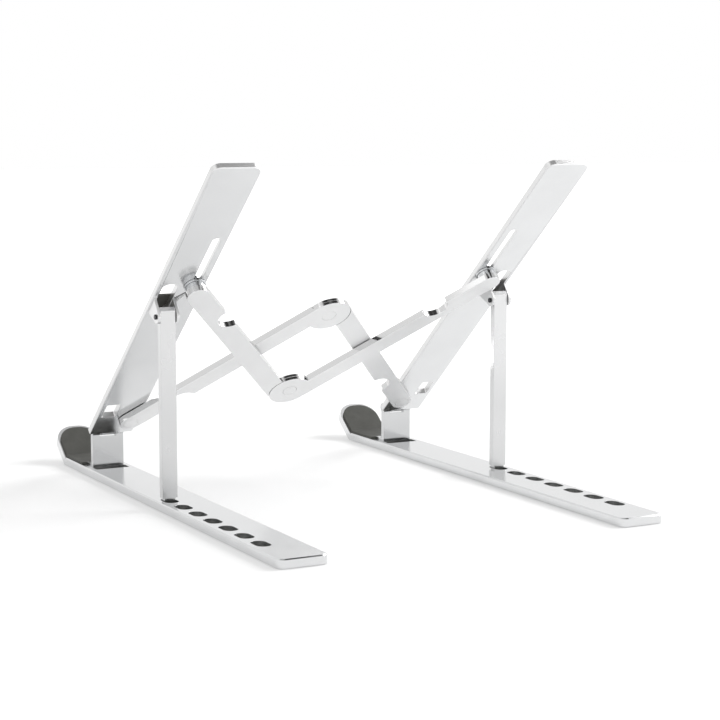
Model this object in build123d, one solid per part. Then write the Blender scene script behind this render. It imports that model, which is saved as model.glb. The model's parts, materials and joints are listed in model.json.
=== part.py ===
from build123d import *
import os
from math import atan2, cos, degrees, hypot, radians, sin

# Folding two-rail laptop stand.  Millimetres, +Z up, +Y from the hooks at the
# front to the back.  The right half is at +X, the left half is its mirror image.
# Everything is first built with y = 0 at the bend of the hooks, then moved so
# the origin is the bottom centre of the whole stand.

# --- base rails -----------------------------------------------------------
RAIL_X = 79.8            # middle of the right rail from the stand's middle
RAIL_WIDTH = 22.0
RAIL_LENGTH = 246.7      # bend to back end
RAIL_THICK = 3.8
RAIL_LIFT = 0.3          # under pads lift the metal off the table
RAIL_CORNER = 3.5
HOOK_ANGLE = 37.0        # hook above the horizontal
HOOK_LENGTH = 21.0
HOOK_ROUND = 9.6
EDGE = 0.5               # soft edge on sheet parts

SLOT_X = 85.1            # line of the ratchet slots and of the legs
SLOT_WIDTH = 6.4
SLOT_LENGTH = 10.7
SLOT_CORNER = 3.1
SLOT_PITCH = 15.85
SLOT_COUNT = 7
FIRST_SLOT_Y = 123.4
WINDOW_WIDTH = 16.6
WINDOW_FRONT = 32.0
WINDOW_BACK = 38.5

# --- rubber ---------------------------------------------------------------
PAD_THICK = 1.2
PAD_WIDTH = 20.2
PAD_TIP_GAP = 2.0        # from the hook's tip to the pad's tip
PAD_BACK = 22.5          # back end of the hook pad
UNDER_PAD_THICK = 1.5
UNDER_PAD_WIDTH = 17.6
UNDER_PAD_FRONT = 10.0
UNDER_PAD_BACK = 240.0

STRIP_PAD = (17.0, 30.0, 109.6)      # width, lower and upper end along the strip
STRIP_PAD_THICK = 1.0

# --- hinge bracket --------------------------------------------------------
BRACKET_WIDTH = 15.6
BRACKET_BACK = 32.0
BRACKET_THICK = 2.6
HINGE_Y = 30.7
HINGE_Z = 21.7
KNUCKLE_R = 2.4
HINGE_PIN_R = 1.1
TONGUE_WIDTH = 7.8
FLANGE_FRONT = 23.1
FLANGE_THICK = 1.4
SCREW_SPREAD = 8.4
SCREW_R = 1.0
RUN = 0.05               # radial clearance of a pin in its hole

# --- upper strips ---------------------------------------------------------
TILT = 40.46             # slope of the strips at rest
STRIP_FOOT_Y = 35.87     # bottom edge of the underside
STRIP_FOOT_Z = 20.75
STRIP_LENGTH = 200.4
STRIP_THICK = 3.0
STRIP_CORNER = 4.0
PIVOT_X = 74.0           # line of the slider slot and of the fixed pivot
SLIDER_SLOT_WIDTH = 3.8
SLIDER_RECESS_WIDTH = 7.0
SLIDER_RECESS_DEPTH = 1.4
FOOT_WINDOW = (6.8, 10.6, 20.4)    # width, length, middle along the strip
LEG_SLOT = (7.4, 21.5, 110.9)    # width, length, middle along the strip

# --- legs -----------------------------------------------------------------
LEG_WIDTH = 7.2
LEG_THICK = 3.3
LEG_Y = 122.35
LEG_PIVOT_Z = 85.3
LEG_HEAD = 4.2           # head above the pivot
LEG_SHOULDER_Z = 5.4     # the foot is narrower below this
LEG_FOOT_WIDTH = 5.2
LEG_FOOT_Z = 1.8
LEG_PIN_R = 1.0
LEG_PIN_HEAD_R = 1.15
LEG_PIN_PROUD = 0.6      # pin ends beyond the ears
LEG_EAR_THICK = 1.2
LEG_EAR_GAP = 0.15       # between an ear and the leg
LEG_EAR_R = 3.0

# --- scissor, in the plane of the strips: x across, s up the slope ---------
ARM_WIDTH = 10.2
CROSS_X = 30.3
CROSS_S = 66.7
FIXED_S = 12.8
SLIDER_S = 120.6
JOINT_OFFSET = 5.25      # middle joint beside the line of the arm
INNER_LAYER = (0.35, 3.15)   # depth below the underside of the strips
OUTER_LAYER = (3.45, 6.45)
RIVET_R = 2.0
BOSS_R = 4.8
HEAD_THICK = 0.9         # flush rivet heads
HEAD_R = 3.4
BLIND_WALL = 1.0         # metal left over a blind rivet hole
NOTCH_R = 6.2

ARM_REACH = hypot(PIVOT_X - CROSS_X, CROSS_S - FIXED_S)
ARM_ANGLE = degrees(atan2(PIVOT_X - CROSS_X, CROSS_S - FIXED_S))
# the middle joints sit on x = 0, JOINT_OFFSET away from the arm's own line
JOINT_RISE = (CROSS_X * cos(radians(ARM_ANGLE)) - JOINT_OFFSET) / sin(radians(ARM_ANGLE))
LOWER_JOINT_S = CROSS_S - JOINT_RISE
UPPER_JOINT_S = CROSS_S + JOINT_RISE
# run of an arm's own line past the crossing, level with the middle joint
JOINT_RUN = (CROSS_X ** 2 + JOINT_RISE ** 2 - JOINT_OFFSET ** 2) ** 0.5
NOTCH_FROM_END = ARM_REACH - JOINT_RUN
KNUCKLE_DISC_R = JOINT_OFFSET + ARM_WIDTH / 2
SLIDE_TOP_S = FIXED_S + 2 * ARM_REACH

# frame lying in the underside of the strips: local x, s, and height above it
strip_frame = Plane(
    origin=(0, STRIP_FOOT_Y, STRIP_FOOT_Z),
    x_dir=(1, 0, 0),
    z_dir=(0, -sin(radians(TILT)), cos(radians(TILT))),
)
RAIL_TOP = RAIL_LIFT + RAIL_THICK
parts = {}


def on_strip(shape):
    """Move a shape from strip coordinates to the stand."""
    return strip_frame.location * shape


def mirrored(shape):
    """The left-hand twin of a right-hand shape."""
    return mirror(shape, about=Plane.YZ)


def side_extrude(points, x_low, x_high):
    """Extrude a closed outline given in y, z between two x planes."""
    outline = Polyline(*[(x_low, y, z) for y, z in points], close=True)
    return extrude(make_face(outline), amount=x_high - x_low, dir=(1, 0, 0))


def x_cylinder(radius, y, z, x_low, x_high):
    """Round piece lying across the stand."""
    turned = Rotation(0, 90, 0) * Cylinder(radius, x_high - x_low)
    return Pos((x_low + x_high) / 2, y, z) * turned


def layer_cylinder(radius, x, s, depth_low, depth_high):
    """Round piece square to the strips, between two depths below the underside."""
    return Pos(x, s, -(depth_low + depth_high) / 2) * Cylinder(radius, depth_high - depth_low)


def hook_frame(depth):
    """Plane of the hook's inside face, lowered by depth; its y runs up the hook."""
    tilt = radians(HOOK_ANGLE)
    return Plane(
        origin=(RAIL_X, -depth * sin(tilt), RAIL_TOP - depth * cos(tilt)),
        x_dir=(-1, 0, 0),
        z_dir=(0, sin(tilt), cos(tilt)),
    )


def tongue(width, length, corner, thick):
    """Hook tongue with two round corners, from below the bend to its tip."""
    body = Pos(0, length / 2 - 5, 0) * Rectangle(width, length + 10)
    body = fillet(body.vertices().sort_by(Axis.Y)[-2:], corner)
    return extrude(body, amount=thick)


def ratchet_slots():
    """Cutters for the row of slots that hold the foot of the leg."""
    slot = extrude(RectangleRounded(SLOT_WIDTH, SLOT_LENGTH, SLOT_CORNER), amount=RAIL_TOP + 1)
    return [Pos(SLOT_X, FIRST_SLOT_Y + step * SLOT_PITCH, 0) * slot for step in range(SLOT_COUNT)]


# --- base rail --------------------------------------------------------------
def base_rail():
    """Flat bar turned up into a hook at the front, with its slots and its window."""
    floor = extrude(
        Pos(RAIL_X, RAIL_LENGTH / 2, RAIL_LIFT) * Rectangle(RAIL_WIDTH, RAIL_LENGTH),
        amount=RAIL_THICK,
    )
    back_corners = floor.edges().filter_by(Axis.Z).sort_by(Axis.Y)[-2:]
    floor = fillet(back_corners, RAIL_CORNER)
    hook = hook_frame(RAIL_THICK).location * tongue(RAIL_WIDTH, HOOK_LENGTH, HOOK_ROUND, RAIL_THICK)
    above_table = Pos(RAIL_X, 0, RAIL_LIFT + 50) * Box(60, 200, 100)
    behind = Pos(RAIL_X, 50 + 0.01, 0) * Box(60, 100, 100)
    hook = (hook & above_table) - behind
    body = floor + hook
    body = chamfer(body.edges().filter_by(Axis.Y).group_by(Axis.Z)[-1], EDGE)
    for cut in ratchet_slots():
        body -= cut
    window_y = (WINDOW_FRONT + WINDOW_BACK) / 2
    window = RectangleRounded(WINDOW_WIDTH, WINDOW_BACK - WINDOW_FRONT, 0.8)
    body -= extrude(Pos(RAIL_X, window_y, 0) * window, amount=RAIL_TOP + 1)
    body -= under_pad(0.1)
    for x, y in screw_places():
        body -= Pos(x, y, RAIL_TOP) * Cylinder(SCREW_R + RUN, 2 * RAIL_THICK)
    return body


def under_pad(grow=0.0):
    """Long rubber strip on the table, or the pocket for it when it is grown a little."""
    width = UNDER_PAD_WIDTH + 2 * grow
    length = UNDER_PAD_BACK - UNDER_PAD_FRONT + 2 * grow
    middle = (UNDER_PAD_BACK + UNDER_PAD_FRONT) / 2
    outline = Pos(RAIL_X, middle, 0) * RectangleRounded(width, length, 2.0)
    return extrude(outline, amount=UNDER_PAD_THICK)


def hook_pad():
    """Rubber lining: up the inside of the hook and along the floor to the bracket."""
    up = tongue(PAD_WIDTH, HOOK_LENGTH - PAD_TIP_GAP, HOOK_ROUND - 0.6, PAD_THICK)
    up = hook_frame(0).location * up
    floor = Box(PAD_WIDTH, PAD_BACK + 10, PAD_THICK)
    floor = Pos(RAIL_X, PAD_BACK / 2 - 5, RAIL_TOP + PAD_THICK / 2) * floor
    # the two runs meet on the plane that halves the bend
    half = radians((180 - HOOK_ANGLE) / 2)
    mitre = Plane(origin=(RAIL_X, 0, RAIL_TOP), x_dir=(1, 0, 0), z_dir=(0, sin(half), -cos(half)))
    wedge = mitre.location * (Pos(0, 0, -50) * Box(60, 200, 100))
    return (up & wedge) + (floor - wedge)


def screw_places():
    """x and y of the two screws in the bracket's flange."""
    y = (FLANGE_FRONT + BRACKET_BACK - BRACKET_THICK) / 2
    return [(RAIL_X - SCREW_SPREAD / 2, y), (RAIL_X + SCREW_SPREAD / 2, y)]


def bracket_screws():
    """Two slotted screws down through the flange into the rail."""
    screws = []
    for x, y in screw_places():
        top = RAIL_TOP + FLANGE_THICK
        head = Pos(x, y, top + 0.05 + 0.6) * Cylinder(1.9, 1.2)
        slot = Pos(x, y, top + 1.25) * Box(0.5, 4, 0.7)
        shank_low = UNDER_PAD_THICK + 0.4
        shank = Pos(x, y, (top + 0.1 + shank_low) / 2) * Cylinder(SCREW_R, top + 0.1 - shank_low)
        screws.append(head + shank - slot)
    return Compound(children=screws)


# --- hinge ------------------------------------------------------------------
def hinge_bracket():
    """Foot flange, upright plate and two knuckles for the hinge pin."""
    front = BRACKET_BACK - BRACKET_THICK
    low = RAIL_X - BRACKET_WIDTH / 2
    high = RAIL_X + BRACKET_WIDTH / 2
    gap_half = TONGUE_WIDTH / 2 + 0.3
    plate_top = HINGE_Z - KNUCKLE_R - 0.5
    plate = side_extrude([(front, RAIL_TOP), (BRACKET_BACK, RAIL_TOP),
                          (BRACKET_BACK, plate_top), (front, plate_top)], low, high)
    flange = Pos(RAIL_X, (FLANGE_FRONT + front) / 2 + 0.05, RAIL_TOP + FLANGE_THICK / 2)
    flange = flange * Box(BRACKET_WIDTH, front - FLANGE_FRONT + 0.1, FLANGE_THICK)
    body = plate + flange
    for a, b in ((low, RAIL_X - gap_half), (RAIL_X + gap_half, high)):
        ear = side_extrude([(front, plate_top - 1), (BRACKET_BACK, plate_top - 1),
                            (BRACKET_BACK, HINGE_Z), (front, HINGE_Z)], a, b)
        body += ear + x_cylinder(KNUCKLE_R, HINGE_Y, HINGE_Z, a, b)
    body -= x_cylinder(HINGE_PIN_R + RUN, HINGE_Y, HINGE_Z, low - 1, high + 1)
    for x, y in screw_places():
        body -= Pos(x, y, RAIL_TOP) * Cylinder(SCREW_R + RUN, 10)
    return body


def hinge_pin():
    """Pin through the bracket's two knuckles and the strip's tongue."""
    low = RAIL_X - BRACKET_WIDTH / 2
    pin = x_cylinder(HINGE_PIN_R, HINGE_Y, HINGE_Z, low - 0.6, low + BRACKET_WIDTH + 0.6)
    return chamfer(pin.edges().filter_by(GeomType.CIRCLE), 0.2)


# --- upper strip ------------------------------------------------------------
def upper_strip():
    """Flat bar with its slots, hinge tongue, leg ears and pivot hole."""
    bar = Pos(RAIL_X, STRIP_LENGTH / 2) * Rectangle(RAIL_WIDTH, STRIP_LENGTH)
    bar = fillet(bar.vertices().sort_by(Axis.Y)[-2:], STRIP_CORNER)
    bar = fillet(bar.vertices().sort_by(Axis.Y)[:2], 1.2)
    body = extrude(bar, amount=STRIP_THICK)
    body = chamfer(body.edges().filter_by(Axis.Y), 0.4)
    width, length, middle = FOOT_WINDOW
    body -= Pos(SLOT_X, middle, -1) * extrude(RectangleRounded(width, length, 0.6), amount=9)
    width, length, middle = LEG_SLOT
    body -= Pos(SLOT_X, middle, -1) * extrude(RectangleRounded(width, length, 3.2), amount=9)
    body -= slider_cut(SLIDER_SLOT_WIDTH, -1, 9)
    body -= slider_cut(SLIDER_RECESS_WIDTH, STRIP_THICK - SLIDER_RECESS_DEPTH, 9)
    body -= layer_cylinder(RIVET_R + RUN, PIVOT_X, FIXED_S, -9, 1)
    body = on_strip(body)
    # tongue from the bottom end down to the hinge pin
    half = TONGUE_WIDTH / 2
    tongue_points = [(HINGE_Y, HINGE_Z - KNUCKLE_R), strip_point(0.6, 0.0),
                     strip_point(0.6, STRIP_THICK), (HINGE_Y, HINGE_Z + KNUCKLE_R)]
    body += side_extrude(tongue_points, RAIL_X - half, RAIL_X + half)
    body += x_cylinder(KNUCKLE_R, HINGE_Y, HINGE_Z, RAIL_X - half, RAIL_X + half)
    body -= x_cylinder(HINGE_PIN_R + RUN, HINGE_Y, HINGE_Z, RAIL_X - 9, RAIL_X + 9)
    # ears on both sides of the leg slot carry the leg pin
    pivot_s, pivot_h = leg_pivot_on_strip()
    for x_low in leg_ear_places():
        x_high = x_low + LEG_EAR_THICK
        root = [strip_point(pivot_s - 6.4, 0.4), strip_point(pivot_s + 3.6, 0.4),
                strip_point(pivot_s + LEG_EAR_R, pivot_h),
                strip_point(pivot_s - LEG_EAR_R, pivot_h)]
        body += side_extrude(root, x_low, x_high)
        body += x_cylinder(LEG_EAR_R, LEG_Y, LEG_PIVOT_Z, x_low, x_high)
        body -= x_cylinder(LEG_PIN_R + RUN, LEG_Y, LEG_PIVOT_Z, x_low - 0.4, x_high + 0.4)
    return body


def strip_pad():
    """Rubber pad stuck on the top of the strip, over the lower end of the leg slot."""
    width, low, high = STRIP_PAD
    outline = Pos(RAIL_X, (low + high) / 2, STRIP_THICK) * RectangleRounded(width, high - low, 1.5)
    return on_strip(extrude(outline, amount=STRIP_PAD_THICK))


def slider_cut(width, low, high):
    """Cutter for the long slot the slider stud runs in, between two heights."""
    ends = width / 2
    bottom = SLIDER_S - ends - 0.25
    top = SLIDE_TOP_S + ends + 0.25
    outline = Rotation(0, 0, 90) * SlotOverall(top - bottom, width)
    return extrude(Pos(PIVOT_X, (bottom + top) / 2, low) * outline, amount=high - low)


def strip_point(s, height):
    """y and z of a point given along the strip and above its underside."""
    tilt = radians(TILT)
    y = STRIP_FOOT_Y + s * cos(tilt) - height * sin(tilt)
    z = STRIP_FOOT_Z + s * sin(tilt) + height * cos(tilt)
    return (y, z)


def leg_pivot_on_strip():
    """The leg pivot in strip coordinates: along the strip, above its underside."""
    tilt = radians(TILT)
    y = LEG_Y - STRIP_FOOT_Y
    z = LEG_PIVOT_Z - STRIP_FOOT_Z
    return (y * cos(tilt) + z * sin(tilt), z * cos(tilt) - y * sin(tilt))


def leg_ear_places():
    """Lower x of each of the two ears."""
    gap = LEG_WIDTH / 2 + LEG_EAR_GAP
    return [SLOT_X - gap - LEG_EAR_THICK, SLOT_X + gap]


# --- leg --------------------------------------------------------------------
def support_leg():
    """Upright bar: bevelled head above the pivot, narrowed foot in the slot."""
    half = LEG_THICK / 2
    top = LEG_PIVOT_Z + LEG_HEAD
    outline = [(LEG_Y - half + 0.5, LEG_FOOT_Z), (LEG_Y + half - 0.5, LEG_FOOT_Z),
               (LEG_Y + half, LEG_FOOT_Z + 2), (LEG_Y + half, top - 1.6),
               (LEG_Y + half - 1.1, top), (LEG_Y - half + 0.6, top),
               (LEG_Y - half, top - 1.0), (LEG_Y - half, LEG_FOOT_Z + 2)]
    leg = side_extrude(outline, SLOT_X - LEG_WIDTH / 2, SLOT_X + LEG_WIDTH / 2)
    leg = chamfer(leg.edges().filter_by(Axis.Z), 0.15)
    for side in (-1, 1):
        beside = SLOT_X + side * (5 + LEG_FOOT_WIDTH / 2)
        leg -= Pos(beside, LEG_Y, LEG_SHOULDER_Z - 10) * Box(10, 10, 20)
    return leg - x_cylinder(LEG_PIN_R + RUN, LEG_Y, LEG_PIVOT_Z, SLOT_X - 9, SLOT_X + 9)


def leg_pin():
    """Pin through the ears and the leg, its ends a little thicker."""
    low, high = leg_ear_places()
    high += LEG_EAR_THICK
    pin = x_cylinder(LEG_PIN_R, LEG_Y, LEG_PIVOT_Z, low - 0.3, high + 0.3)
    pin += x_cylinder(LEG_PIN_HEAD_R, LEG_Y, LEG_PIVOT_Z, low - LEG_PIN_PROUD, low - 0.05)
    return pin + x_cylinder(LEG_PIN_HEAD_R, LEG_Y, LEG_PIVOT_Z, high + 0.05, high + LEG_PIN_PROUD)


# --- scissor ----------------------------------------------------------------
def arm_outline(end_s, joint_s):
    """Flat arm from its end pivot past the crossing to a big middle knuckle.

    The right-hand arm is drawn; end_s is its pivot on the strip and joint_s the
    middle joint on x = 0.  A round notch in its edge leaves room for the other
    middle joint when the scissor closes.
    """
    toward = 1 if joint_s < end_s else -1
    angle = radians(ARM_ANGLE)
    along = Vector(-sin(angle), -toward * cos(angle))
    across = Vector(-cos(angle), toward * sin(angle))
    end = Vector(PIVOT_X, end_s)
    length = ARM_REACH + JOINT_RUN
    middle = end + along * (length / 2)
    turn = degrees(atan2(along.Y, along.X))
    bar = Pos(middle.X, middle.Y) * Rotation(0, 0, turn) * Rectangle(length, ARM_WIDTH)
    outline = bar + Pos(end.X, end.Y) * Circle(ARM_WIDTH / 2)
    outline += Pos(0, joint_s) * Circle(KNUCKLE_DISC_R)
    notch = end + along * NOTCH_FROM_END + across * JOINT_OFFSET
    outline -= Pos(notch.X, notch.Y) * Circle(NOTCH_R)
    return outline


def hole(x, s, depth_low, depth_high, radius=RIVET_R + RUN):
    """Cutter for a rivet's hole, or for the seat of its head."""
    return layer_cylinder(radius, x, s, depth_low, depth_high)


def lapped_arm(end_s, joint_s, layer, keep_outer):
    """Arm in one layer, its middle knuckle halved to lap the mirrored arm."""
    depth_low, depth_high = layer
    outline = arm_outline(end_s, joint_s)
    arm = extrude(Pos(0, 0, -depth_high) * outline, amount=depth_high - depth_low)
    split = (depth_low + depth_high) / 2
    if keep_outer:
        cut = layer_cylinder(KNUCKLE_DISC_R + 0.3, 0, joint_s, depth_low - 1, split + 0.03)
    else:
        cut = layer_cylinder(KNUCKLE_DISC_R + 0.3, 0, joint_s, split - 0.03, depth_high + 1)
    arm -= cut
    arm -= hole(0, joint_s, depth_low - 1, depth_high + 1)
    # seat for the flush outer head of the middle joint's rivet
    return arm - hole(0, joint_s, depth_high - HEAD_THICK - 0.05, depth_high + 1, HEAD_R + 0.08)


def slider_arm(keep_outer):
    """Outer arm; its crossing and stud holes are blind, so the outer face is unbroken."""
    arm = lapped_arm(SLIDER_S, LOWER_JOINT_S, OUTER_LAYER, keep_outer)
    arm -= hole(PIVOT_X, SLIDER_S, 0, OUTER_LAYER[1] - BLIND_WALL)
    return arm - hole(CROSS_X, CROSS_S, 0, OUTER_LAYER[1] - BLIND_WALL)


def fixed_arm(keep_outer):
    """Inner arm, pinned to the strip at its lower end."""
    arm = lapped_arm(FIXED_S, UPPER_JOINT_S, INNER_LAYER, keep_outer)
    arm -= hole(CROSS_X, CROSS_S, 0, 9)
    arm -= hole(PIVOT_X, FIXED_S, 0, 9)
    arm -= hole(PIVOT_X, FIXED_S, INNER_LAYER[1] - HEAD_THICK - 0.05, 9, HEAD_R + 0.08)
    # seat for the inner head of the crossing rivet
    return arm - hole(CROSS_X, CROSS_S, 0, INNER_LAYER[0] + 0.9, 4.1)


def crossing_rivet():
    """Rivet where two arms cross, headed inside and blind in the outer arm."""
    low = INNER_LAYER[0] + 0.05
    high = OUTER_LAYER[1] - BLIND_WALL - 0.1
    head = layer_cylinder(4.0, CROSS_X, CROSS_S, low, low + 0.8)
    return head + layer_cylinder(RIVET_R, CROSS_X, CROSS_S, low + 0.4, high)


def crossing_washer():
    """Thin washer between the two layers of arms."""
    low = INNER_LAYER[1] + 0.05
    ring = layer_cylinder(4.6, CROSS_X, CROSS_S, low, OUTER_LAYER[0] - 0.05)
    return ring - layer_cylinder(RIVET_R + RUN, CROSS_X, CROSS_S, 0, 9)


def lower_joint_rivet():
    """Rivet of the two slider arms; its inner boss meets the fixed arms' notches."""
    low, high = OUTER_LAYER
    rivet = layer_cylinder(BOSS_R, 0, LOWER_JOINT_S, 0.8, low - 0.05)
    rivet += layer_cylinder(RIVET_R, 0, LOWER_JOINT_S, 1.5, high - 0.3)
    return rivet + layer_cylinder(HEAD_R, 0, LOWER_JOINT_S, high - HEAD_THICK, high)


def upper_joint_rivet():
    """Rivet of the two fixed arms, flush outside and with a thin head inside."""
    low, high = INNER_LAYER
    rivet = layer_cylinder(HEAD_R, 0, UPPER_JOINT_S, high - HEAD_THICK, high)
    rivet += layer_cylinder(RIVET_R, 0, UPPER_JOINT_S, low - 0.1, high - 0.3)
    return rivet + layer_cylinder(3.6, 0, UPPER_JOINT_S, low - 0.25, low - 0.05)


def fixed_rivet():
    """Rivet that pins a fixed arm to its strip, flush at both ends."""
    high = INNER_LAYER[1]
    rivet = layer_cylinder(HEAD_R, PIVOT_X, FIXED_S, high - HEAD_THICK, high)
    return rivet + layer_cylinder(RIVET_R, PIVOT_X, FIXED_S, -STRIP_THICK + 0.1, high - 0.3)


def fixed_spacer():
    """Thin ring between the strip and its fixed arm."""
    ring = layer_cylinder(3.6, PIVOT_X, FIXED_S, 0.05, INNER_LAYER[0] - 0.05)
    return ring - layer_cylinder(RIVET_R + RUN, PIVOT_X, FIXED_S, -1, 9)


def slider_stud():
    """Stud of a slider arm: collar under the strip, neck in the slot, flange in the recess."""
    neck_r = SLIDER_SLOT_WIDTH / 2 - 0.08
    floor = STRIP_THICK - SLIDER_RECESS_DEPTH
    stud = layer_cylinder(3.2, PIVOT_X, SLIDER_S, -floor - 1.1, -floor - 0.1)
    stud += layer_cylinder(neck_r, PIVOT_X, SLIDER_S, -floor - 0.6, 1.2)
    stud += layer_cylinder(4.4, PIVOT_X, SLIDER_S, 1.0, OUTER_LAYER[0] - 0.05)
    return stud + layer_cylinder(RIVET_R, PIVOT_X, SLIDER_S, 2.0, OUTER_LAYER[1] - BLIND_WALL - 0.1)


def slider_washer():
    """Washer on the stud, just under the strip."""
    ring = layer_cylinder(4.9, PIVOT_X, SLIDER_S, 0.1, 0.95)
    return ring - layer_cylinder(SLIDER_SLOT_WIDTH / 2, PIVOT_X, SLIDER_S, -1, 9)


# --- put the stand together ---------------------------------------------------
both_sides = {
    "base_rail": base_rail(),
    "hook_pad": hook_pad(),
    "under_pad": under_pad(),
    "hinge_bracket": hinge_bracket(),
    "bracket_screws": bracket_screws(),
    "hinge_pin": hinge_pin(),
    "upper_strip": upper_strip(),
    "strip_pad": strip_pad(),
    "support_leg": support_leg(),
    "leg_pin": leg_pin(),
    "crossing_rivet": on_strip(crossing_rivet()),
    "crossing_washer": on_strip(crossing_washer()),
    "fixed_rivet": on_strip(fixed_rivet()),
    "fixed_spacer": on_strip(fixed_spacer()),
    "slider_stud": on_strip(slider_stud()),
    "slider_washer": on_strip(slider_washer()),
}
for name, shape in both_sides.items():
    parts["right_" + name] = shape
    parts["left_" + name] = mirrored(shape)
parts["right_slider_arm"] = on_strip(slider_arm(False))
parts["left_slider_arm"] = mirrored(on_strip(slider_arm(True)))
parts["right_fixed_arm"] = on_strip(fixed_arm(True))
parts["left_fixed_arm"] = mirrored(on_strip(fixed_arm(False)))
parts["lower_joint_rivet"] = on_strip(lower_joint_rivet())
parts["upper_joint_rivet"] = on_strip(upper_joint_rivet())

# origin at the bottom centre of the stand
rail_box = parts["right_base_rail"].bounding_box()
BACK_SHIFT = -(rail_box.min.Y + rail_box.max.Y) / 2
os.makedirs("parts", exist_ok=True)
for name, shape in parts.items():
    export_step(shape.moved(Location((0, BACK_SHIFT, 0))), "parts/" + name + ".step")

print("shift of y:", BACK_SHIFT)
print("hinge y, z:", HINGE_Y + BACK_SHIFT, HINGE_Z)
print("leg pivot y, z:", LEG_Y + BACK_SHIFT, LEG_PIVOT_Z)
for label, x, s in (("fixed", PIVOT_X, FIXED_S), ("crossing", CROSS_X, CROSS_S),
                    ("lower joint", 0, LOWER_JOINT_S), ("upper joint", 0, UPPER_JOINT_S)):
    y, z = strip_point(s, 0)
    print(label, "x, y, z:", x, y + BACK_SHIFT, z)
print("arm angle:", ARM_ANGLE, "lower and upper joint s:", LOWER_JOINT_S, UPPER_JOINT_S)
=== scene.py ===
import json
from math import cos, radians, sin

import bmesh
import bpy
from mathutils import Matrix, Vector


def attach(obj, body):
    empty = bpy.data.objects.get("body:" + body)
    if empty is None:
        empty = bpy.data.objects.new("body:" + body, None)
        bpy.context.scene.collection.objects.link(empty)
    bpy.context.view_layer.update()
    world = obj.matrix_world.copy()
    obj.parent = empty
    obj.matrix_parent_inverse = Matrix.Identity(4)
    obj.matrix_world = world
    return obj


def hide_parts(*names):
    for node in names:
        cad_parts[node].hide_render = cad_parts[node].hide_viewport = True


# Folding laptop stand: looks for the CAD frame, in metres.  Every CAD node is
# shown by a welded copy of its own mesh with softened edges and a new material.

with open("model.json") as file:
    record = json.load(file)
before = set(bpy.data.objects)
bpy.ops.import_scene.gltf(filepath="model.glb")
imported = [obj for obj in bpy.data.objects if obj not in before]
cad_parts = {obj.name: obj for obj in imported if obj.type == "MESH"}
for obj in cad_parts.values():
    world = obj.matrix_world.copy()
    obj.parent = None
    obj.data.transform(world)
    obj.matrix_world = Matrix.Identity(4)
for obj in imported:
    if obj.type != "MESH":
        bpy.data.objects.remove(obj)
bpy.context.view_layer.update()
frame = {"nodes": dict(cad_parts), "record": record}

STRIP_SLOPE = radians(40.46)     # the strips and the scissor's arms at rest

# sockets of a Mix node set to colours, which share their names with the numbers'
MIX_FIRST_COLOUR = 6
MIX_SECOND_COLOUR = 7
MIX_COLOUR_OUT = 2


# --- small helpers for node trees --------------------------------------------------
def shader(name):
    """A new node material; returns it with its node tree and its Principled shader."""
    material = bpy.data.materials.new(name)
    material.use_nodes = True
    tree = material.node_tree
    return material, tree, tree.nodes["Principled BSDF"]


def object_noise(tree, scale, detail, stretch=(1, 1, 1)):
    """Noise laid out in the stand's own frame, in metres, stretched along an axis."""
    coords = tree.nodes.new("ShaderNodeTexCoord")
    mapping = tree.nodes.new("ShaderNodeMapping")
    mapping.inputs["Scale"].default_value = stretch
    noise = tree.nodes.new("ShaderNodeTexNoise")
    noise.inputs["Scale"].default_value = scale
    noise.inputs["Detail"].default_value = detail
    tree.links.new(coords.outputs["Object"], mapping.inputs["Vector"])
    tree.links.new(mapping.outputs["Vector"], noise.inputs["Vector"])
    return noise.outputs["Fac"]


def colour_steps(tree, value, steps):
    """Colours placed along a value, blended between the places."""
    node = tree.nodes.new("ShaderNodeValToRGB")
    while len(node.color_ramp.elements) < len(steps):
        node.color_ramp.elements.new(0.5)
    for element, (place, colour) in zip(node.color_ramp.elements, steps):
        element.position = place
        element.color = (*colour, 1.0)
    tree.links.new(value, node.inputs["Fac"])
    return node.outputs["Color"]


def mottle(tree, noise, low, high):
    """Noise turned into a soft mottling between two colours."""
    return colour_steps(tree, noise, ((0.35, low), (0.65, high)))


def map_range(tree, value, from_min, from_max, to_min, to_max):
    node = tree.nodes.new("ShaderNodeMapRange")
    node.inputs["From Min"].default_value = from_min
    node.inputs["From Max"].default_value = from_max
    node.inputs["To Min"].default_value = to_min
    node.inputs["To Max"].default_value = to_max
    tree.links.new(value, node.inputs["Value"])
    return node.outputs["Result"]


def spread(tree, noise, low, high):
    """Noise turned into a range of numbers."""
    return map_range(tree, noise, 0.3, 0.7, low, high)


def bump(tree, bsdf, height, distance, strength):
    node = tree.nodes.new("ShaderNodeBump")
    node.inputs["Strength"].default_value = strength
    node.inputs["Distance"].default_value = distance
    tree.links.new(height, node.inputs["Height"])
    tree.links.new(node.outputs["Normal"], bsdf.inputs["Normal"])


# --- materials ---------------------------------------------------------------------
def flat_share(tree):
    """1 on faces parallel to the strips, 0 on the walls and cut edges square to them."""
    coords = tree.nodes.new("ShaderNodeTexCoord")
    dot = tree.nodes.new("ShaderNodeVectorMath")
    dot.operation = "DOT_PRODUCT"
    dot.inputs[1].default_value = (0, -sin(STRIP_SLOPE), cos(STRIP_SLOPE))
    size = tree.nodes.new("ShaderNodeMath")
    size.operation = "ABSOLUTE"
    tree.links.new(coords.outputs["Normal"], dot.inputs[0])
    tree.links.new(dot.outputs["Value"], size.inputs[0])
    return map_range(tree, size.outputs["Value"], 0.45, 0.90, 0.0, 1.0)


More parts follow.
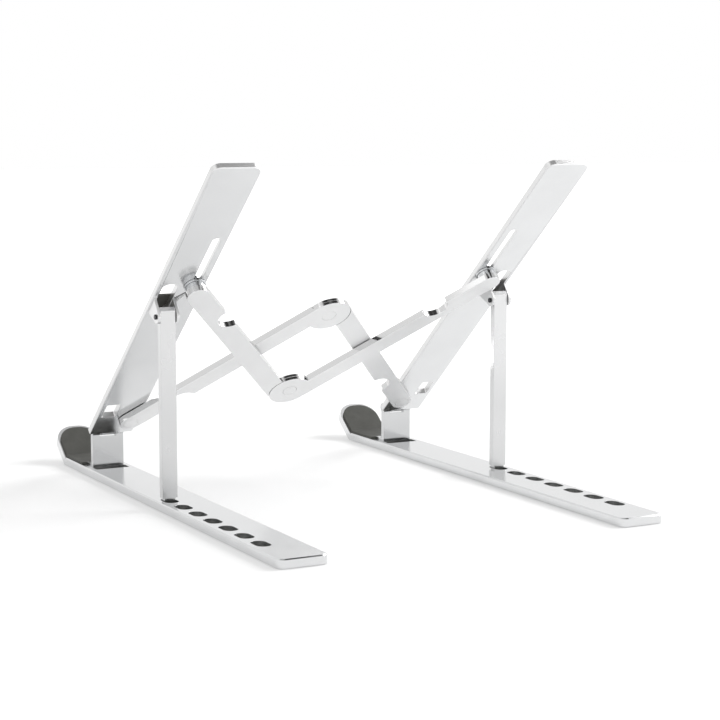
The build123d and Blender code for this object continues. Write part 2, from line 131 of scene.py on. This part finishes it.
def anodised(name, low, high, rough_low, rough_high, wall=None):
    """Bead-blasted, anodised aluminium: soft mottling, fine grain, satin gloss.

    Pieces cut from sheet can have their own roughness and another grey on the cut edges; on
    the arms that grey is darker, painted shade on the cut edges.
    """
    material, tree, bsdf = shader(name)
    cloud = object_noise(tree, 45.0, 3.0)
    fine = object_noise(tree, 5200.0, 2.0)
    colour = mottle(tree, cloud, low, high)
    rough = spread(tree, cloud, rough_low, rough_high)
    if wall:
        wall_grey_and_shade, wall_rough = wall
        # mask of the cut edges, which take their own roughness and grey; on the arms that grey
        # is darker, painted shade
        share = flat_share(tree)
        colours = tree.nodes.new("ShaderNodeMix")
        colours.data_type = "RGBA"
        colours.inputs[MIX_FIRST_COLOUR].default_value = (wall_grey_and_shade, wall_grey_and_shade, wall_grey_and_shade, 1.0)
        tree.links.new(share, colours.inputs["Factor"])
        tree.links.new(colour, colours.inputs[MIX_SECOND_COLOUR])
        colour = colours.outputs[MIX_COLOUR_OUT]
        roughs = tree.nodes.new("ShaderNodeMix")
        roughs.inputs["A"].default_value = wall_rough
        tree.links.new(share, roughs.inputs["Factor"])
        tree.links.new(rough, roughs.inputs["B"])
        rough = roughs.outputs["Result"]
    tree.links.new(colour, bsdf.inputs["Base Color"])
    tree.links.new(rough, bsdf.inputs["Roughness"])
    bump(tree, bsdf, fine, 0.000004, 0.5)
    bsdf.inputs["Metallic"].default_value = 1.0
    return material


def rubber(name, low, high, rough):
    """Moulded silicone: near-black with a fine matte tooth and faint bloom."""
    material, tree, bsdf = shader(name)
    bloom = object_noise(tree, 160.0, 5.0)
    tooth = object_noise(tree, 3800.0, 2.0)
    tree.links.new(mottle(tree, bloom, low, high), bsdf.inputs["Base Color"])
    tree.links.new(spread(tree, tooth, rough - 0.06, rough + 0.06), bsdf.inputs["Roughness"])
    bump(tree, bsdf, tooth, 0.00002, 0.6)
    bsdf.inputs["Specular IOR Level"].default_value = 0.4
    return material


def turned_steel(name, low, high, rough_low, rough_high):
    """Turned metal with fine tool marks."""
    material, tree, bsdf = shader(name)
    marks = object_noise(tree, 2600.0, 3.0, (1, 1, 4))
    tree.links.new(mottle(tree, marks, low, high), bsdf.inputs["Base Color"])
    tree.links.new(spread(tree, marks, rough_low, rough_high), bsdf.inputs["Roughness"])
    bump(tree, bsdf, marks, 0.000004, 0.4)
    bsdf.inputs["Metallic"].default_value = 1.0
    return material


# low and high colour, low and high roughness, then grey and roughness of cut edges (darker on
# the arms: painted shade)
# One anodised aluminium with a grey per part, set to how bright each part looks under the
# studio light: the arms' lighter grey is painted light, the legs' and the bracket's darker
# greys are painted shade.
MATERIALS = {
    "rail_metal": anodised(
        "rail_metal", (0.70, 0.705, 0.71), (0.73, 0.735, 0.74), 0.17, 0.22),
    "strip_metal": anodised(
        "strip_metal", (0.69, 0.695, 0.70), (0.72, 0.725, 0.73), 0.17, 0.22, (0.71, 0.34)),
    "arm_metal": anodised(
        "arm_metal", (0.77, 0.772, 0.775), (0.80, 0.802, 0.805), 0.40, 0.47, (0.66, 0.12)),
    "leg_metal": anodised(
        "leg_metal", (0.61, 0.612, 0.615), (0.64, 0.642, 0.645), 0.22, 0.28),
    "bracket_metal": anodised(
        "bracket_metal", (0.57, 0.575, 0.58), (0.60, 0.605, 0.61), 0.12, 0.17),
    "pin_metal": turned_steel(
        "pin_metal", (0.56, 0.57, 0.58), (0.68, 0.69, 0.70), 0.08, 0.15),
    "rivet_metal": turned_steel(
        "rivet_metal", (0.76, 0.762, 0.765), (0.81, 0.812, 0.815), 0.36, 0.44),
    "dark_steel": turned_steel(
        "dark_steel", (0.035, 0.035, 0.038), (0.060, 0.060, 0.064), 0.20, 0.32),
    # near-black washer between the crossing arms: the dark line of that gap is painted shade
    "dark_washer": rubber(
        "dark_washer", (0.020, 0.020, 0.021), (0.034, 0.034, 0.036), 0.45),
    "rubber": rubber(
        "rubber", (0.052, 0.052, 0.046), (0.066, 0.066, 0.059), 0.66),
}


# --- visible pieces from the CAD nodes ---------------------------------------------
WELD_GAP = 2e-6
FLAT_WITHIN = radians(0.6)       # faces this close to level are joined up
SHARP_EDGE = radians(32.0)       # edges sharper than this are softened

record = frame["record"]
SLOT_OF = {part["node"]: part["material_slot"] for part in record["subparts"]}
BODY_OF = {}
for body, members in record["behaviour"]["bodies"].items():
    for member in members:
        BODY_OF[member] = body

SMALL_EDGE = 0.00012
EDGE_WIDTH = {
    "base_rail": 0.00035,
    "upper_strip": 0.00030,
    "support_leg": 0.00025,
    "slider_arm": 0.00016,
    "fixed_arm": 0.00016,
    "fixed_rivet": 0.00005,
    "lower_joint_rivet": 0.00005,
    "upper_joint_rivet": 0.00005,
    "hook_pad": 0.00025,
    "strip_pad": 0.00025,
    "under_pad": 0.00025,
}


def clean_copy(node, name):
    """A welded copy of a CAD node's mesh with its flat faces joined up again."""
    mesh = frame["nodes"][node].data.copy()
    mesh.name = name
    mesh.materials.clear()
    work = bmesh.new()
    work.from_mesh(mesh)
    bmesh.ops.remove_doubles(work, verts=work.verts, dist=WELD_GAP)
    inner = [edge for edge in work.edges if edge.is_manifold]
    bmesh.ops.dissolve_limit(work, angle_limit=FLAT_WITHIN, verts=work.verts, edges=inner)
    work.to_mesh(mesh)
    work.free()
    if "custom_normal" in mesh.attributes:
        mesh.attributes.remove(mesh.attributes["custom_normal"])
    for face in mesh.polygons:
        face.use_smooth = True
    piece = bpy.data.objects.new(name, mesh)
    bpy.context.scene.collection.objects.link(piece)
    return piece


def soften(piece, width):
    """Round off the sharp edges and keep the flats flat."""
    bevel = piece.modifiers.new("edge", "BEVEL")
    bevel.width = width
    bevel.segments = 2
    bevel.limit_method = "ANGLE"
    bevel.angle_limit = SHARP_EDGE
    bevel.use_clamp_overlap = True
    bevel.harden_normals = True
    bevel.miter_outer = "MITER_ARC"


def make_piece(node):
    """The visible piece that stands for a CAD node."""
    slot = SLOT_OF[node]
    kind = node.replace("right_", "").replace("left_", "")
    piece = clean_copy(node, "look_" + node)
    piece.data.materials.append(MATERIALS[slot])
    soften(piece, EDGE_WIDTH.get(kind, SMALL_EDGE))
    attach(piece, BODY_OF[node])
    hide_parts(node)


for node in sorted(frame["nodes"]):
    make_piece(node)


# --- studio --------------------------------------------------------------------
FLOOR_HALF = 6.0
NEAR_REACH, NEAR_GLOW = 0.30, 0.22     # distance from the stand and glow there
FAR_REACH, FAR_GLOW = 1.10, 0.66


def floor_glow(tree):
    """Glow of the pale floor, stronger away from the lights that fall on the stand."""
    coords = tree.nodes.new("ShaderNodeTexCoord")
    reach = tree.nodes.new("ShaderNodeVectorMath")
    reach.operation = "LENGTH"
    tree.links.new(coords.outputs["Object"], reach.inputs[0])
    return map_range(tree, reach.outputs["Value"], NEAR_REACH, FAR_REACH, NEAR_GLOW, FAR_GLOW)


def studio_floor():
    """Plain pale floor at z = 0."""
    half = FLOOR_HALF
    corners = [(-half, -half, 0), (half, -half, 0), (half, half, 0), (-half, half, 0)]
    mesh = bpy.data.meshes.new("floor")
    mesh.from_pydata(corners, [], [(0, 1, 2, 3)])
    floor = bpy.data.objects.new("floor", mesh)
    bpy.context.scene.collection.objects.link(floor)
    material, tree, bsdf = shader("floor")
    tone = object_noise(tree, 3.0, 4.0)
    tree.links.new(mottle(tree, tone, (0.70, 0.70, 0.70), (0.71, 0.71, 0.71)),
                   bsdf.inputs["Base Color"])
    bsdf.inputs["Emission Color"].default_value = (1.0, 1.0, 1.0, 1.0)
    tree.links.new(floor_glow(tree), bsdf.inputs["Emission Strength"])
    bsdf.inputs["Roughness"].default_value = 0.9
    bsdf.inputs["Specular IOR Level"].default_value = 0.1
    mesh.materials.append(material)


def area_light(name, place, target, size, power):
    light = bpy.data.lights.new(name, "AREA")
    light.shape = "SQUARE"
    light.size = size
    light.energy = power
    lamp = bpy.data.objects.new(name, light)
    lamp.location = place
    aim = Vector(target) - Vector(place)
    lamp.rotation_euler = aim.to_track_quat("-Z", "Y").to_euler()
    bpy.context.scene.collection.objects.link(lamp)


def grey_steps(tree, value, steps):
    """Greys of the surroundings along one of its directions."""
    return colour_steps(tree, value, [(place, (grey, grey, grey)) for place, grey in steps])


def studio_world():
    """White walls and a grey ceiling, with a dark gap between them behind the stand."""
    world = bpy.data.worlds.new("studio")
    world.use_nodes = True
    tree = world.node_tree
    coords = tree.nodes.new("ShaderNodeTexCoord")
    axes = tree.nodes.new("ShaderNodeSeparateXYZ")
    tree.links.new(coords.outputs["Generated"], axes.inputs["Vector"])
    with_gap = grey_steps(tree, axes.outputs["Z"],
                          ((0.79, 1.0), (0.84, 0.04), (0.94, 0.04), (0.96, 0.62)))
    no_gap = grey_steps(tree, axes.outputs["Z"], ((0.86, 1.0), (0.94, 0.62)))
    behind = grey_steps(tree, axes.outputs["Y"], ((0.0, 0.0), (0.06, 1.0)))
    mix = tree.nodes.new("ShaderNodeMix")
    mix.data_type = "RGBA"
    tree.links.new(behind, mix.inputs["Factor"])
    tree.links.new(no_gap, mix.inputs[MIX_FIRST_COLOUR])
    tree.links.new(with_gap, mix.inputs[MIX_SECOND_COLOUR])
    tree.links.new(mix.outputs[MIX_COLOUR_OUT], tree.nodes["Background"].inputs["Color"])
    bpy.context.scene.world = world


studio_floor()
studio_world()
area_light("left", place=(-1.5, 0.1, 0.9), target=(-0.35, -0.05, 0), size=0.9, power=24.0)
area_light("right", place=(2.2, 1.0, 1.2), target=(0, 0, 0.05), size=2.0, power=8.0)


# --- camera --------------------------------------------------------------------
CAMERA_PLACE = (0.38511, 0.75340, 0.16759)
CAMERA_RIGHT = (-0.88347, 0.46850, 0.00119)
CAMERA_UP = (-0.05787, -0.11164, 0.99206)
CAMERA_BACK = (0.46491, 0.87638, 0.12574)

camera_data = bpy.data.cameras.new("camera")
camera_data.sensor_width = 36.0
camera_data.lens = 92.39
camera_data.clip_start = 0.01
camera = bpy.data.objects.new("camera", camera_data)
turn = Matrix((CAMERA_RIGHT, CAMERA_UP, CAMERA_BACK)).transposed().to_4x4()
camera.matrix_world = Matrix.Translation(CAMERA_PLACE) @ turn
bpy.context.scene.collection.objects.link(camera)
bpy.context.scene.camera = camera
bpy.context.scene.view_settings.view_transform = "Standard"
bpy.context.view_layer.update()
